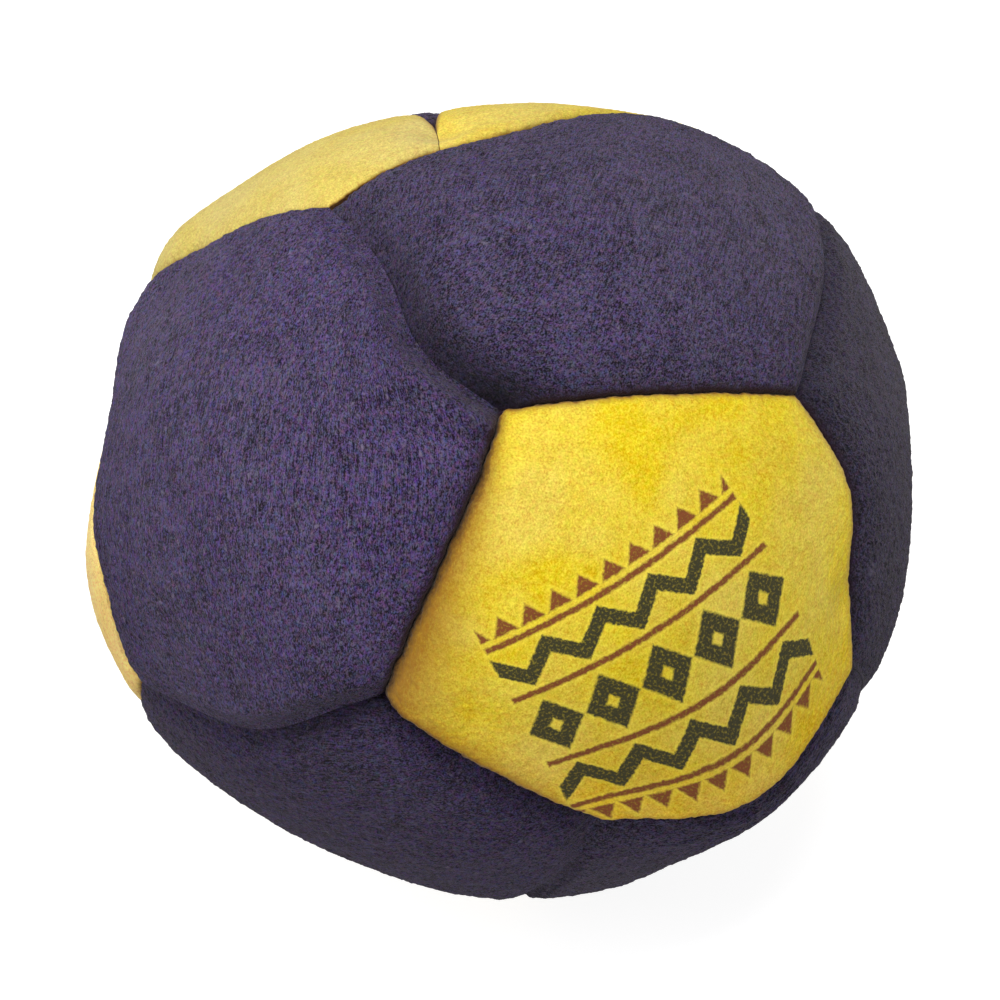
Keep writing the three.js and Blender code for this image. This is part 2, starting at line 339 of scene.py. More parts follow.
# The print, in millimetres: a woven band, mirrored about its middle row, with a repeat along it.
# The sides of its diamonds lie about a share of their half width from the middle
PRINT_REPEAT = 3.9
PRINT_HALF_WIDTH = 9.6
PRINT_DIAMOND = (1.88, 2.08)
PRINT_EYE = (0.46, 0.52)
PRINT_DIAMOND_SHARE = 0.7
PRINT_ZIGZAG_HEIGHT = 4.65
PRINT_ZIGZAG_SLOPE = 0.85
PRINT_ZIGZAG_HALF = 0.64
PRINT_RULES = (2.72, 6.6)
PRINT_RULE_HALF = 0.21
PRINT_TEETH = (0.85, 1.25)
PRINT_TEETH_START = 7.2

# Its ink: how soft its edges are, how far and how finely they stray, and the pale halo beside them
# with its strength
PRINT_BLUR = 0.08
PRINT_STRAY = (0.28, 0.28, 0.28)
PRINT_STRAY_SCALE = 4.0
PRINT_HALO = 0.35
PRINT_HALO_STRENGTH = 0.3

# The grain that breaks the ink up, the range over which it does so with the least and most ink that
# is kept, and the range over which the ink turns lighter with how much lighter it is
PRINT_GRAIN_SCALE = 5.5
PRINT_KEPT = (0.3, 0.5, 0.72, 1.0)
PRINT_MOTTLE = (0.35, 0.7)
PRINT_MOTTLE_TIMES = 1.6

# The threads: their space under the raw edges and at their ends, the steps along each, its plies,
# a ply's radius as a share of the thread's diameter, and how often they turn about each other
THREAD_CLEARANCE = 0.32 * MM
THREAD_END_GAP = 0.9 * MM
THREAD_STEPS = 72
THREAD_PLIES = 2
PLY_SHARE = 0.27
PLY_TURNS = 7

# The fuzz on a thread: its size, how much lighter it is, and its bump
FUZZ_SIZE = 0.12 * MM
FUZZ_TIMES = 1.8
FUZZ_BUMP = 0.3
FUZZ_DEPTH = 0.05 * MM

# The pellets: the seed of their shake, their spacing in diameters, how far each is shaken, how high
# their undersides lie at least, and how many are made at a time, which keeps each step small
PELLET_SEED = 12
PELLET_PITCH = 1.04
PELLET_SHAKE = 0.04 * MM
PELLET_FLOOR = 1.4 * MM
PELLET_BATCH = 40

# Balls packed closely: how far apart their rows and their layers are, in spacings
ROW_STEP = math.sqrt(3) / 2
LAYER_STEP = math.sqrt(2 / 3)

# The pellets' finish: the size of the cells that differ in tone, the range of that, how dark the
# dullest are, and the grain of their roughness with its range and the roughness at its two ends
PELLET_CELL = 2.6 * MM
PELLET_TONES = (0.2, 0.8)
PELLET_DULL = 0.75
PELLET_GRAIN = 0.4 * MM
PELLET_ROUGHNESS = (0.3, 0.7, 0.3, 0.5)

# The floor's size in metres, its grey and its glow, and the light of the world
FLOOR_SIZE = 6
FLOOR_GREY = 0.4
FLOOR_GLOW = 0.88
WORLD_LIGHT = 0.21

# Plain colours, and the grey that the colours of noise swing about
WHITE = (1, 1, 1, 1)
BLACK = (0, 0, 0, 1)
MIDDLE_GREY = (0.5, 0.5, 0.5)

# The camera: degrees round and up and distance from the middle of the bag, and its lens and shift
CAMERA_PLACE = (-90, 35, 386.4 * MM)
CAMERA_LENS = 203.3
CAMERA_SHIFT = (-0.0083, -0.0003)

# Lamps: name, degrees round and up, distance, size and power
LAMPS = (
    ("top_lamp", -90, 80, 0.75, 0.5, 4.8),
    ("left_lamp", -155, 36, 0.75, 0.5, 2.4),
    ("front_lamp", -60, 15, 0.9, 0.5, 2.5),
)


def web_colour(code):
    """A web colour such as 4d4361 as Blender's linear red, green, blue and alpha."""
    parts = [int(code[i : i + 2], 16) / 255 for i in (0, 2, 4)]
    return (*(p / 12.92 if p <= 0.04045 else ((p + 0.055) / 1.055) ** 2.4 for p in parts), 1.0)


def length(name, description, default, low, high):
    """A length property, in metres, with its limits."""
    return bpy.props.FloatProperty(
        name=name, description=description, default=default, min=low, max=high,
        unit="LENGTH", precision=5,
    )


def colour(name, description, code):
    """A colour property, from a web colour."""
    return bpy.props.FloatVectorProperty(
        name=name, description=description, default=web_colour(code), size=4, min=0, max=1,
        subtype="COLOR",
    )


class FootbagSizes(bpy.types.PropertyGroup):
    """Sizes of the bag and of what is in it."""

    bag_radius: length("Bag radius", "Middle of the bag to its seams", 27.6 * MM, 20 * MM, 40 * MM)
    suede: length("Suede thickness", "Thickness of each panel", 1.0 * MM, 0.6 * MM, 1.6 * MM)
    turn: length("Turn radius", "Inner radius of a turned edge", 0.7 * MM, 0.3 * MM, 1.5 * MM)
    allowance: length("Seam allowance", "Turned-in edge below the lip", 3.0 * MM, 1.5 * MM, 5 * MM)
    seam_gap: length("Seam gap", "Space left between sewn panels", 0.012 * MM, 0.01 * MM, 0.4 * MM)
    navy_nap: length("Navy nap", "Height of the navy suede's tufts", 0.11 * MM, 0, 0.5 * MM)
    yellow_nap: length("Yellow nap", "Height of the yellow suede's grain", 0.045 * MM, 0, 0.5 * MM)
    thread: length("Thread diameter", "Sewing thread", 0.6 * MM, 0.3 * MM, 1.2 * MM)
    pellet: length("Pellet diameter", "Plastic pellets of the fill", 2.6 * MM, 1.5 * MM, 4 * MM)
    rows: bpy.props.IntProperty(
        name="Rows", description="Rows of faces from a panel's middle to its seam",
        default=144, min=12, max=160,
    )


class FootbagColours(bpy.types.PropertyGroup):
    """Colours of the suede, the print, the thread and the pellets."""

    navy_deep: colour("Navy, deep", "Between the tufts of the navy suede", "17111d")
    navy_pale: colour("Navy, pale", "Tips of the navy suede's tufts", "574b70")
    yellow_deep: colour("Yellow, deep", "Grain of the yellow suede", "c39c14")
    yellow_pale: colour("Yellow, pale", "Raised fibres of the yellow suede", "f3df4c")
    # The stain colours below are partly the suede's own stain and partly painted shade at the seams
    yellow_stain: colour("Yellow, stained", "Brown that yellow suede takes at its seams", "8a5617")
    navy_stain: colour("Navy, stained", "What the navy suede darkens to at its seams", "2a1a24")
    # Painted shade in the crevice where two panels touch
    seam_crevice_shade: colour("Seam", "Where two panels touch", "2a1512")
    ink: colour("Ink", "Filled shapes of the print", "32301f")
    line_ink: colour("Line ink", "Thin lines of the print", "6b3a20")
    thread: colour("Thread", "Sewing thread", "2c2638")
    pellet: colour("Pellet", "Plastic pellets", "d9d4c4")


class Push(NamedTuple):
    """A bow, swell or dent: its centre, its reach, and its move out and along, in bag radii."""

    at: np.ndarray
    reach: float
    out: float
    slide: np.ndarray


class Outline(NamedTuple):
    """A panel's middle and its corners in order, and for each seam its inward direction, the panel
    beyond it, and whether its first end comes first."""

    middle: np.ndarray
    corners: np.ndarray
    inward: np.ndarray
    partners: list
    forward: np.ndarray


def direction(azimuth, elevation):
    """The unit direction at these degrees round from +X and up."""
    turn, up = math.radians(azimuth), math.radians(elevation)
    return np.array((math.cos(up) * math.cos(turn), math.cos(up) * math.sin(turn), math.sin(up)))


def unit(vector):
    """Vectors at length one."""
    return vector / np.linalg.norm(vector, axis=-1, keepdims=True)


def corners_of(*names):
    """The directions of the corners that all these panels share."""
    return [direction(a, e) for panels, a, e in CORNERS if set(names) <= set(panels)]


def middle_of(name):
    """The direction of a panel's middle."""
    return unit(sum(corners_of(name)))


def reach_of(spread):
    """How sharply a push dies away, from its spread in degrees."""
    return 1 - math.cos(math.radians(spread))


def slide_toward(name, at, share, spread):
    """A push that slides the suede round a place toward a panel's middle."""
    into = middle_of(name)
    return Push(at, reach_of(spread), 0.0, unit(into - at * (into @ at)) * share)


def make_pushes():
    """Every swell, dent and seam bow as a push."""
    made = [Push(direction(a, e), reach_of(s), out, np.zeros(3)) for a, e, s, out in SWELLS + DENTS]
    for pair, start_panel, share, bow, spread in SEAM_BOWS:
        (start,) = corners_of(start_panel, *pair)
        (end,) = [c for c in corners_of(*pair) if not np.allclose(c, start)]
        made.append(slide_toward(pair[1], unit(start + (end - start) * share), bow, spread))
    return made


def make_wanders():
    """Every place where the seams have crept, as a push."""
    return [slide_toward(name, direction(a, e), share, s) for a, e, s, name, share in WANDERS]


PUSHES = make_pushes()
CREEPS = make_wanders()


def crept(points):
    """Points of the evenly round bag, turned about its middle to where its seams have crept."""
    distance = np.linalg.norm(points, axis=1, keepdims=True)
    outward = points / distance
    turned = outward.copy()
    for push in CREEPS:
        turned += push.slide * np.exp((outward @ push.at - 1) / push.reach)[:, None]
    return unit(turned) * distance


def pushed(points):
    """Points of the evenly round bag, moved to where they lie once the bag has settled."""
    distance = np.linalg.norm(points, axis=1, keepdims=True)
    outward = points / distance
    moved = points.copy()
    for push in PUSHES:
        strength = distance * np.exp((outward @ push.at - 1) / push.reach)[:, None]
        moved += outward * strength * push.out + push.slide * strength
    return moved


def rest_height(sizes):
    """How high the middle of the bag stands over the surface that it rests on."""
    lowest = np.array([[0, 0, -sizes.bag_radius * (1 + CROWN_SHARE)]])
    return float(np.linalg.norm(pushed(lowest))) - REST_FLAT_DEPTH


def rested(points, depth, sizes):
    """Settled points raised onto the surface that the bag rests on, and none of them nearer to it
    than its depth under the outer face."""
    middle_height = rest_height(sizes)
    points[:, 2] = np.maximum(points[:, 2], depth - middle_height) + middle_height
    return points


def raw_edge_depth(sizes):
    """How deep the raw edges of the panels lie under the outer face."""
    return sizes.suede + sizes.turn + sizes.allowance


def meet_at(name, other, corner):
    """Whether two panels share a corner."""
    return any(np.allclose(corner, shared) for shared in corners_of(name, other))


def outline_of(name):
    """A panel's outline, with its corners anticlockwise as seen from outside."""
    middle, corners = middle_of(name), np.array(corners_of(name))
    side = unit(np.cross(middle, corners[0]))
    ahead = np.cross(side, middle)
    order = np.argsort(np.arctan2(corners @ side, corners @ ahead))
    corners = corners[order]
    inward = unit(np.cross(corners, np.roll(corners, -1, axis=0)))
    partners = []
    for start, end in zip(corners, np.roll(corners, -1, axis=0)):
        partners += [
            other for other in PANELS
            if other != name and meet_at(name, other, start) and meet_at(name, other, end)
        ]
    return Outline(middle, corners, inward, partners, order < np.roll(order, -1))


def seam_between(name, other):
    """The seam between two panels, and which of its two sides is this panel's."""
    if (name, other) in SEAMS:
        return SEAMS[name, other], 0
    return SEAMS.get((other, name), Seam()), 1


def along_seam(outline, column, outward):
    """How far along a seam each direction lies, from the seam's first end."""
    start, end = outline.corners[column], outline.corners[(column + 1) % len(outline.corners)]
    along = end - start
    share = np.clip((outward - start) @ along / (along @ along), 0, 1)
    return share if outline.forward[column] else 1 - share


def between(ends, share):
    """A value part of the way from one end's to the other's."""
    return ends[0] + (ends[1] - ends[0]) * share


def keep_clear(points, inward, inset):
    """Moves points in until they lie this far from each seam of their panel."""
    for _ in range(CLEAR_ROUNDS):
        for normal in inward:
            short = np.maximum(inset - points @ normal, 0)
            points = points + short[:, None] * normal
    return points


def crease_height(outward, radius):
    """How far the creases sink or raise the suede in these directions."""
    height = np.zeros(len(outward))
    for start, end, width, depth in CREASES:
        first, last = direction(*start), direction(*end)
        along = last - first
        share = np.clip((outward - first) @ along / (along @ along), 0, 1)
        off = np.linalg.norm(outward - first - share[:, None] * along, axis=1) * radius / width
        height -= depth * (1 - off**2) * np.exp(-(off**2) / 2)
    return height


def face_radius(name, outline, outward, share, sizes):
    """Distance from the middle of the bag to the panel's outer face."""
    radius = sizes.bag_radius
    across = outward @ outline.inward.T * radius
    drops, rises = [], 0.0
    for column, partner in enumerate(outline.partners):
        seam, mine = seam_between(name, partner)
        along = along_seam(outline, column, outward)
        roll = seam.rolls[mine] * MM * between((1, seam.flare), along)
        into = np.clip(1 - across[:, column] / roll, 0, 1)
        rounded = 1 - np.sqrt(1 - into**2)
        softened = into**2 * (3 - 2 * into)
        depth = np.maximum(between(seam.depths, along), LEAST_DEPTH) * MM
        drops.append(depth * between((rounded, softened), seam.soft))
        rises = rises + seam.rises[mine] * MM * np.exp(-((across[:, column] / RISE_REACH) ** 2))
    drop = (np.array(drops) ** CORNER_SHARPNESS).sum(0) ** (1 / CORNER_SHARPNESS)
    crown = radius * (1 + CROWN_SHARE * (1 - share**2))
    return crown - drop + rises + crease_height(outward, radius)


def tone_and_painted_shade_of(name, outline, outward, sizes):
    """How light the suede is: its panel's tone, which is partly painted light and shade, and
    painted shade in the hollows beside its seams.
    """
    tone = np.full(len(outward), PANELS[name].tone)
    for column, partner in enumerate(outline.partners):
        seam, mine = seam_between(name, partner)
        fade = between((1, SHADE_FADE), along_seam(outline, column, outward))
        off = outward @ outline.inward[column] * sizes.bag_radius
        tone *= 1 - seam.shade[mine] * fade * np.exp(-((off / SHADE_REACH) ** 2))
    return tone


def shaded_hue_of(name, outward):
    """The hue shift of the suede: painted shade that turns the yellow browner low on the bag."""
    if PANELS[name].suede == "navy":
        return np.full(len(outward), HUE_KEPT)
    low = np.clip((SHADE_WARM_BELOW - outward[:, 2]) / SHADE_WARM_OVER, 0, 1)
    return HUE_KEPT - SHADE_WARMTH * low


def seam_stains_and_shade(name, outline, outward, sizes):
    """How much stain and painted shade the suede has beside its seams, and how near it is to the
    painted shade in the crevice where navy and yellow touch, both from none to full."""
    stain_and_shade, crevice_shade = np.zeros(len(outward)), np.zeros(len(outward))
    for column, partner in enumerate(outline.partners):
        seam, _ = seam_between(name, partner)
        off = np.abs(outward @ outline.inward[column]) * sizes.bag_radius
        spread = between(seam.stain_and_shade, along_seam(outline, column, outward))
        width = np.maximum(spread, LEAST_STAIN_AND_SHADE) * MM
        if PANELS[name].suede == "navy":
            width = np.minimum(width, NAVY_STAIN_AND_SHADE_WIDTH)
            if PANELS[partner].suede == "navy":
                continue
        stain_and_shade = np.maximum(stain_and_shade, np.exp(-((off / width) ** STAIN_AND_SHADE_SHARPNESS)))
        reach = np.minimum(width * TOUCH_SHARE, TOUCH_WIDTH)
        crevice_shade = np.maximum(crevice_shade, np.exp(-((off / reach) ** STAIN_AND_SHADE_SHARPNESS)))
    return stain_and_shade, crevice_shade


def panel_mesh(outline, sizes):
    """A panel as a closed bmesh on the unit ball, with layers that say where each point goes:
    its share of the way out, its distance from the seams, and its depth under the outer face."""
    bm = bmesh.new()
    share_layer = bm.verts.layers.float.new("share")
    inset_layer = bm.verts.layers.float.new("inset")
    depth_layer = bm.verts.layers.float.new("depth")
    sides = len(outline.corners)
    bmesh.ops.create_circle(bm, cap_ends=True, cap_tris=True, segments=sides, radius=1)
    rim = sorted((v for v in bm.verts if v.is_boundary), key=lambda v: math.atan2(v.co.y, v.co.x))
    for vert, corner in zip(rim, outline.corners):
        vert.co = corner
        vert[share_layer] = 1
    for vert in bm.verts:
        vert[inset_layer] = sizes.seam_gap / 2
        vert[depth_layer] = 0
        if not vert.is_boundary:
            vert.co = outline.middle
    for cuts in split_rows(sizes.rows):
        bmesh.ops.subdivide_edges(bm, edges=bm.edges[:], cuts=cuts, use_grid_fill=True)
    hidden_side(bm, outline, sizes, share_layer, inset_layer, depth_layer)
    return bm


def split_rows(rows):
    """Cuts for two rounds of subdivision that together give about this many rows."""
    coarse = round(math.sqrt(rows))
    return coarse - 1, round(rows / coarse) - 1


def hidden_side(bm, outline, sizes, share_layer, inset_layer, depth_layer):
    """Carries a panel's rim down to its raw edge, up the inside and across to a closed middle."""
    half_gap = sizes.seam_gap / 2
    lip = sizes.suede + sizes.turn
    raw_depth = raw_edge_depth(sizes)
    rings = (
        (half_gap, raw_depth / 2, 1),
        (half_gap, raw_depth, 1),
        (half_gap + sizes.suede, raw_depth, 1),
        (half_gap + sizes.suede, lip, 1),
        (half_gap + lip, sizes.suede, 1),
        *((half_gap, sizes.suede, share) for share in INNER_RING_SHARES),
    )
    middle = Vector(outline.middle)
    edges = [e for e in bm.edges if e.is_boundary]
    for inset, depth, share in rings:
        made = bmesh.ops.extrude_edge_only(bm, edges=edges)["geom"]
        verts = [g for g in made if isinstance(g, bmesh.types.BMVert)]
        edges = [g for g in made if isinstance(g, bmesh.types.BMEdge) and g.is_boundary]
        for vert in verts:
            rim = middle + (vert.co - middle) / vert[share_layer]
            vert.co = middle + (rim - middle) * share
            vert[share_layer], vert[inset_layer], vert[depth_layer] = share, inset, depth
    made = bmesh.ops.extrude_edge_only(bm, edges=edges)["geom"]
    verts = [g for g in made if isinstance(g, bmesh.types.BMVert)]
    for vert in verts:
        vert[share_layer] = 0
    bmesh.ops.pointmerge(bm, verts=verts, merge_co=middle)


def layer_values(mesh, name):
    """A float layer of a mesh as an array, after which the layer is removed."""
    values = np.empty(len(mesh.vertices), np.float32)
    layer = mesh.attributes[name]
    layer.data.foreach_get("value", values)
    mesh.attributes.remove(layer)
    return values.astype(float)


def points_of(mesh, field="co"):
    """The vertices' places or normals as an array."""
    values = np.empty(len(mesh.vertices) * 3, np.float32)
    mesh.vertices.foreach_get(field, values)
    return values.reshape(-1, 3).astype(float)


def set_points(mesh, points):
    """Puts the vertices at these places."""
    mesh.vertices.foreach_set("co", points.astype(np.float32).ravel())


def face_outwards(mesh):
    """Turns the faces of a closed mesh outwards."""
    bm = bmesh.new()
    bm.from_mesh(mesh)
    bmesh.ops.recalc_face_normals(bm, faces=bm.faces[:])
    bm.to_mesh(mesh)
    bm.free()


def nap_axes(outline, turn):
    """Directions across and along the nap of a panel, square to its middle."""
    up = (0, 0, 1) if abs(outline.middle[2]) < LEVEL_FROM else (0, 1, 0)
    right = unit(np.cross(up, outline.middle))
    ahead = np.cross(outline.middle, right)
    angle = math.radians(turn)
    return (
        right * math.cos(angle) - ahead * math.sin(angle),
        right * math.sin(angle) + ahead * math.cos(angle),
    )


def flat_map(outward, middle, axes, radius):
    """Lays directions out flat round a middle, at their true distance from it."""
    height = np.clip(outward @ middle, -1, 1)
    along = unit(outward - height[:, None] * middle + TINY)
    reach = np.arccos(height) * radius
    return np.stack([along @ axes[0] * reach, along @ axes[1] * reach], axis=1)


def add_map(mesh, name, places):
    """A UV map from one place for each vertex, in metres."""
    layer = mesh.uv_layers.new(name=name)
    corners = np.empty(len(mesh.loops), np.int32)
    mesh.loops.foreach_get("vertex_index", corners)
    layer.data.foreach_set("uv", places[corners].astype(np.float32).ravel())


def add_values(mesh, name, values):
    """A value or a vector for each vertex, for the materials to read."""
    kind, field = ("FLOAT", "value") if values.ndim == 1 else ("FLOAT_VECTOR", "vector")
    layer = mesh.attributes.new(name, kind, "POINT")
    layer.data.foreach_set(field, values.astype(np.float32).ravel())


def ragged_slide(points, outline, name, across):
    """Where navy meets yellow the nap laps unevenly, so both panels' edges wander together."""
    slide = np.zeros_like(points)
    for column, partner in enumerate(outline.partners):
        if PANELS[partner].suede == PANELS[name].suede:
            continue
        sign = 1 if name < partner else -1
        near = np.nonzero(across[:, column] < RAGGED_REACH * 2)[0]
        normal = outline.inward[column] * sign
        for i in near:
            place = Vector(points[i] - normal * (points[i] @ normal))
            amount = sum(weight * noise.noise(place / grain) for grain, weight in RAGGED_GRAINS)
            fade = math.exp(-((across[i, column] / RAGGED_REACH) ** 2))
            slide[i] += normal * RAGGED_SLIDE * amount * fade
    return slide


def nap_relief(places, height):
    """Height of the tufts at these places: fine short ridges along the nap, and broader clumps."""
    relief = np.empty(len(places))
    for i, place in enumerate(places / NAP_GRAIN):
        spot = Vector(place)
        relief[i] = height * (noise.noise(spot) + CLUMP_HEIGHT * noise.noise(spot / CLUMP_TIMES))
    return relief


def add_object(name, data):
    """An object at the origin of the scene."""
    made = bpy.data.objects.new(name, data)
    bpy.context.scene.collection.objects.link(made)
    return made


def make_panel(name, sizes):
    """One suede panel as an object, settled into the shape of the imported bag."""
    outline = outline_of(name)
    bm = panel_mesh(outline, sizes)
    mesh = bpy.data.meshes.new(f"suede_{name}")
    bm.to_mesh(mesh)
    bm.free()
    share, inset, depth = (layer_values(mesh, key) for key in ("share", "inset", "depth"))
    flat = points_of(mesh)
    eased = share + EDGE_CROWDING * share * (1 - share)
    rim = outline.middle + (flat - outline.middle) / np.maximum(share, LEAST_SHARE)[:, None]
    outward = unit(outline.middle + (rim - outline.middle) * eased[:, None])
    distance = face_radius(name, outline, outward, eased, sizes)
    hidden = depth > 0
    distance[hidden] = (sizes.bag_radius * (1 + CROWN_SHARE * (1 - eased**2)) - depth)[hidden]
    points = keep_clear(outward * distance[:, None], outline.inward, inset)
    panel = PANELS[name]
    axes = nap_axes(outline, panel.nap_turn)
    places = points @ np.array((axes[0], axes[1] / panel.stretch, outline.middle)).T
    across = points @ outline.inward.T
    points += ragged_slide(points, outline, name, across)
    points = pushed(crept(points))
    set_points(mesh, points)
    face_outwards(mesh)

    height = sizes.navy_nap if panel.suede == "navy" else sizes.yellow_nap
    relief = nap_relief(places, height)
    seam_distance = (outward @ outline.inward.T).min(axis=1) * sizes.bag_radius
    relief *= np.where(hidden, 0, np.clip(seam_distance / RELIEF_FADE, 0, 1))
    points += points_of(mesh, "normal") * relief[:, None]
    set_points(mesh, rested(points, depth, sizes))
    mesh.update()
    mesh.shade_smooth()
    if name == "front":
        middle = direction(*PRINT_PLACE)
        print_axes = nap_axes(outline._replace(middle=middle), PRINT_TURN)
        add_map(mesh, "print_map", flat_map(outward, middle, print_axes, sizes.bag_radius))
    add_values(mesh, "nap_place", places)
    # Masks for the seams' stain, which is partly painted shade, and for the painted shade in the
    # crevice where panels touch
    for key, values in zip(("stain_and_shade", "crevice_shade"), seam_stains_and_shade(name, outline, outward, sizes)):
        add_values(mesh, key, values)
    # The tone holds painted light and shade: each panel's own painted lighting and the painted
    # shade in its seams' hollows
    add_values(mesh, "tone", tone_and_painted_shade_of(name, outline, outward, sizes))
    # Painted shade: the yellow suede is painted browner low on the bag
    add_values(mesh, "hue", shaded_hue_of(name, outward))
    add_values(mesh, "fullness", np.full(len(points), panel.fullness))
    return add_object(f"suede_{name}", mesh)


def add_node(tree, kind, inputs=None, **settings):
    """Adds a shader node: a socket given as an input is linked to it, and a value is typed in."""
    made = tree.nodes.new("ShaderNode" + kind)
    for name, value in settings.items():
        setattr(made, name, value)
    for key, value in (inputs or {}).items():
        if isinstance(value, bpy.types.NodeSocket):
            tree.links.new(value, made.inputs[key])
        else:
            made.inputs[key].default_value = value
    return made


def calculate(tree, operation, first, second=0.0):
    """The result of a Math node."""
    return add_node(tree, "Math", {0: first, 1: second}, operation=operation).outputs[0]


def combine(tree, operation, *vectors):
    """The vector that a Vector Math node gives."""
    inputs = dict(enumerate(vectors))
    return add_node(tree, "VectorMath", inputs, operation=operation).outputs[0]


def rescale(tree, value, low, high, to_low=0.0, to_high=1.0):
    """A value carried from one range to another, held inside it."""
    inputs = dict(enumerate((value, low, high, to_low, to_high)))
    return add_node(tree, "MapRange", inputs, clamp=True).outputs["Result"]


def blend_colours(tree, factor, first, second, blend_type="MIX"):
    """Two colours mixed by a factor."""
    inputs = {0: factor, 6: first, 7: second}
    return add_node(tree, "Mix", inputs, data_type="RGBA", blend_type=blend_type).outputs[2]


def speckle(tree, place, scale, detail=2.0, roughness=0.5, out="Fac"):
    """Noise at a place, as a value or as a colour."""
    inputs = {"Vector": place, "Scale": scale, "Detail": detail, "Roughness": roughness}
    return add_node(tree, "TexNoise", inputs).outputs[out]


def attribute(tree, name, out="Fac"):
    """What the mesh says at each point under this name."""
    return add_node(tree, "Attribute", attribute_name=name).outputs[out]


def add_bump(tree, shader, height, strength, distance):
    """Bends a shader's normal by a height."""
    bump = add_node(tree, "Bump", {"Strength": strength, "Distance": distance, "Height": height})
    tree.links.new(bump.outputs["Normal"], shader.inputs["Normal"])


def seen_rays(tree):
    """Whether a ray shows what it meets: one from the camera, from metal or through glass."""
    rays = add_node(tree, "LightPath").outputs
    seen = calculate(tree, "MAXIMUM", rays["Is Camera Ray"], rays["Is Glossy Ray"])
    return calculate(tree, "MAXIMUM", seen, rays["Is Transmission Ray"])


def times_lighter(base, times):
    """A colour this many times lighter, or darker where that is less than one."""
    return (*(min(1, part * times) for part in base[:3]), 1)


def new_group(name, takes, gives):
    """A shader node group with these inputs (a place, colours and plain values) and outputs. It
    returns what the group's input node puts out and what its output node takes in too."""
    group = bpy.data.node_groups.new(name, "ShaderNodeTree")
    for label, value in takes.items():
        kind = "Vector" if value is None else "Color" if isinstance(value, tuple) else "Float"
        socket = group.interface.new_socket(label, in_out="INPUT", socket_type="NodeSocket" + kind)
        if value is not None:
            socket.default_value = value
    for label, kind in gives.items():
        group.interface.new_socket(label, in_out="OUTPUT", socket_type="NodeSocket" + kind)
    enters, leaves = group.nodes.new("NodeGroupInput"), group.nodes.new("NodeGroupOutput")
    return group, enters.outputs, leaves.inputs


def suede_group():
    """Suede: pale tufts over a deep ground, in clumps and streaks, with flecks of other dye."""
    group, takes, gives = new_group(
        "suede_nap",
        {
            "Place": None, "Deep": BLACK, "Pale": WHITE, "Tuft Size": 0.3 * MM, "Contrast": 1.0,
            "Fleck": 0.2, "Streaks": 0.0, "Pills": 0.0,
        },
        {"Color": "Color", "Height": "Float"},
    )
    step, place = partial(calculate, group), takes["Place"]
    scale = step("DIVIDE", 1.0, takes["Tuft Size"])
    height = None
    for times, detail, weight in NAP_LAYERS:
        layer = speckle(group, place, step("MULTIPLY", scale, times), detail, NAP_ROUGHNESS)
        layer = step("MULTIPLY", step("SUBTRACT", layer, 0.5), weight)
        height = step("ADD", height, layer) if height else layer
    drawn = combine(group, "MULTIPLY", place, STREAK_DRAW)
    streaks = step("SUBTRACT", speckle(group, drawn, scale, 1.0), 0.5)
    height = step("ADD", height, step("MULTIPLY", streaks, takes["Streaks"]))
    tone = rescale(group, step("MULTIPLY", height, takes["Contrast"]), *NAP_RANGE)
    ground = blend_colours(group, tone, takes["Deep"], takes["Pale"])
    flecks = speckle(group, place, step("MULTIPLY", scale, FLECK_TIMES), 3.0, out="Color")
    flecks = combine(group, "SUBTRACT", flecks, MIDDLE_GREY)
    flecks = combine(group, "MULTIPLY_ADD", flecks, FLECK_SPREAD, MIDDLE_GREY)
    tinted = blend_colours(group, takes["Fleck"], ground, flecks, "OVERLAY")
    pills = rescale(group, speckle(group, place, 1 / PILL_SIZE, 4.0), *PILL_RANGE)
    pills = step("MULTIPLY", pills, takes["Pills"])
    group.links.new(blend_colours(group, pills, tinted, PILL_COLOUR), gives["Color"])
    group.links.new(height, gives["Height"])
    return group


def stain_and_shade_group():
    """Colour beside a seam: a stain that is partly painted shade, and a line of painted shade in
    the crevice where the panels touch, both uneven.
    """
    group, takes, gives = new_group(
        "seam_stain_and_shade",
        {
            "Color": WHITE, "Stain And Shade Colour": (0.2, 0.1, 0.1, 1), "Dark": BLACK, "Stain And Shade": 0.0, "Crevice Shade": 0.0,
            "Strength": 1.0, "Place": None,
        },
        {"Color": "Color"},
    )
    step = partial(calculate, group)
    uneven = speckle(group, takes["Place"], 1 / STAIN_AND_SHADE_GRAIN, 3.0, STAIN_AND_SHADE_ROUGHNESS)
    swing = rescale(group, uneven, *STAIN_AND_SHADE_GRAIN_RANGE, -STAIN_AND_SHADE_SWING, STAIN_AND_SHADE_SWING)
    stain_and_shade, crevice_shade = (
        step("ADD", takes[key], step("MULTIPLY", swing, takes[key])) for key in ("Stain And Shade", "Crevice Shade")
    )
    # The stain, mixed with painted shade
    stain_and_shade_share = step("MULTIPLY", rescale(group, stain_and_shade, *STAIN_AND_SHADE_RANGE), takes["Strength"])
    stained_and_shaded = blend_colours(group, stain_and_shade_share, takes["Color"], takes["Stain And Shade Colour"])
    # The line of painted shade in the crevice where the panels touch
    darkest = step("MULTIPLY", rescale(group, crevice_shade, *TOUCH_RANGE), TOUCH_STRENGTH)
    group.links.new(blend_colours(group, darkest, stained_and_shaded, takes["Dark"]), gives["Color"])
    return group


def blank_material(name, **values):
    """A material with a Principled BSDF, and the values that are the same all over it."""
    material = bpy.data.materials.new(name)
    material.use_nodes = True
    shader = material.node_tree.nodes["Principled BSDF"]
    for key, value in values.items():
        shader.inputs[key.replace("_", " ")].default_value = value
    return material, material.node_tree, shader


